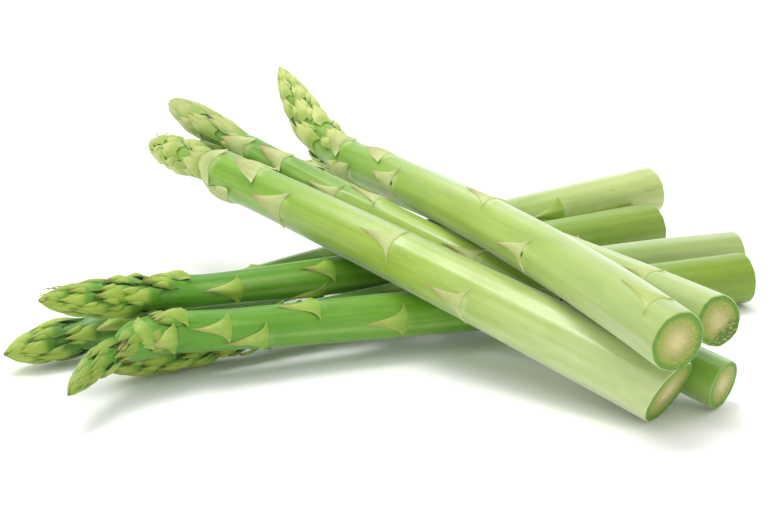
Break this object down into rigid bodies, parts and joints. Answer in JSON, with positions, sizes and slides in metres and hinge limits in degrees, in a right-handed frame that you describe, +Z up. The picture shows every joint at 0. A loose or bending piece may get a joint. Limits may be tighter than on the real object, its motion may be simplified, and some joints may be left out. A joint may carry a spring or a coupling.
{
  "type": "bundle of asparagus",
  "caption": "Loose bunch of cut green asparagus spears lying crossed in two layers, with pointed buds, small scale leaves and flat cut ends.",
  "frame": {"origin": "bottom centre of the whole bunch's box, on the surface it lies on", "axes": "+Z up; +X along the bunch's longest extent, towards the cut ends; +Y away from the front of the bunch"},
  "size_m": [0.2246, 0.1902, 0.062],
  "materials": {
    "pale_green_stalk": "fresh asparagus skin, pale yellow-green, smooth and slightly waxy; the cut end has a darker rim and a tan centre",
    "fresh_green_stalk": "fresh asparagus skin, mid green, smooth and slightly waxy",
    "deep_green_stalk": "fresh asparagus skin, deeper green, smooth and slightly waxy",
    "olive_green_stalk": "fresh asparagus skin, olive green, smooth and slightly waxy",
    "scale_leaf": "thin dry scale leaf, pale green-tan with a pinkish brown point"
  },
  "bodies": {
    "root": {"back_spear_leaf_1": "scale_leaf", "back_spear_leaf_2": "scale_leaf", "back_spear_leaf_3": "scale_leaf", "back_spear_leaf_4": "scale_leaf", "back_spear_leaf_5": "scale_leaf", "back_spear_stalk": "pale_green_stalk", "far_lower_spear_leaf_1": "scale_leaf", "far_lower_spear_leaf_2": "scale_leaf", "far_lower_spear_leaf_3": "scale_leaf", "far_lower_spear_leaf_4": "scale_leaf", "far_lower_spear_leaf_5": "scale_leaf", "far_lower_spear_stalk": "deep_green_stalk", "far_upper_spear_leaf_1": "scale_leaf", "far_upper_spear_leaf_2": "scale_leaf", "far_upper_spear_leaf_3": "scale_leaf", "far_upper_spear_leaf_4": "scale_leaf", "far_upper_spear_leaf_5": "scale_leaf", "far_upper_spear_stalk": "olive_green_stalk", "floor_spear_leaf_1": "scale_leaf", "floor_spear_leaf_2": "scale_leaf", "floor_spear_leaf_3": "scale_leaf", "floor_spear_leaf_4": "scale_leaf", "floor_spear_leaf_5": "scale_leaf", "floor_spear_stalk": "deep_green_stalk", "front_spear_leaf_1": "scale_leaf", "front_spear_leaf_2": "scale_leaf", "front_spear_leaf_3": "scale_leaf", "front_spear_leaf_4": "scale_leaf", "front_spear_leaf_5": "scale_leaf", "front_spear_leaf_6": "scale_leaf", "front_spear_leaf_7": "scale_leaf", "front_spear_stalk": "pale_green_stalk", "middle_spear_leaf_1": "scale_leaf", "middle_spear_leaf_2": "scale_leaf", "middle_spear_leaf_3": "scale_leaf", "middle_spear_leaf_4": "scale_leaf", "middle_spear_leaf_5": "scale_leaf", "middle_spear_leaf_6": "scale_leaf", "middle_spear_leaf_7": "scale_leaf", "middle_spear_stalk": "fresh_green_stalk", "near_low_spear_leaf_1": "scale_leaf", "near_low_spear_leaf_2": "scale_leaf", "near_low_spear_leaf_3": "scale_leaf", "near_low_spear_leaf_4": "scale_leaf", "near_low_spear_leaf_5": "scale_leaf", "near_low_spear_leaf_6": "scale_leaf", "near_low_spear_leaf_7": "scale_leaf", "near_low_spear_leaf_8": "scale_leaf", "near_low_spear_stalk": "deep_green_stalk", "top_spear_leaf_1": "scale_leaf", "top_spear_leaf_2": "scale_leaf", "top_spear_leaf_3": "scale_leaf", "top_spear_leaf_4": "scale_leaf", "top_spear_leaf_5": "scale_leaf", "top_spear_leaf_6": "scale_leaf", "top_spear_leaf_7": "scale_leaf", "top_spear_leaf_8": "scale_leaf", "top_spear_stalk": "pale_green_stalk"}
  },
  "joints": []
}
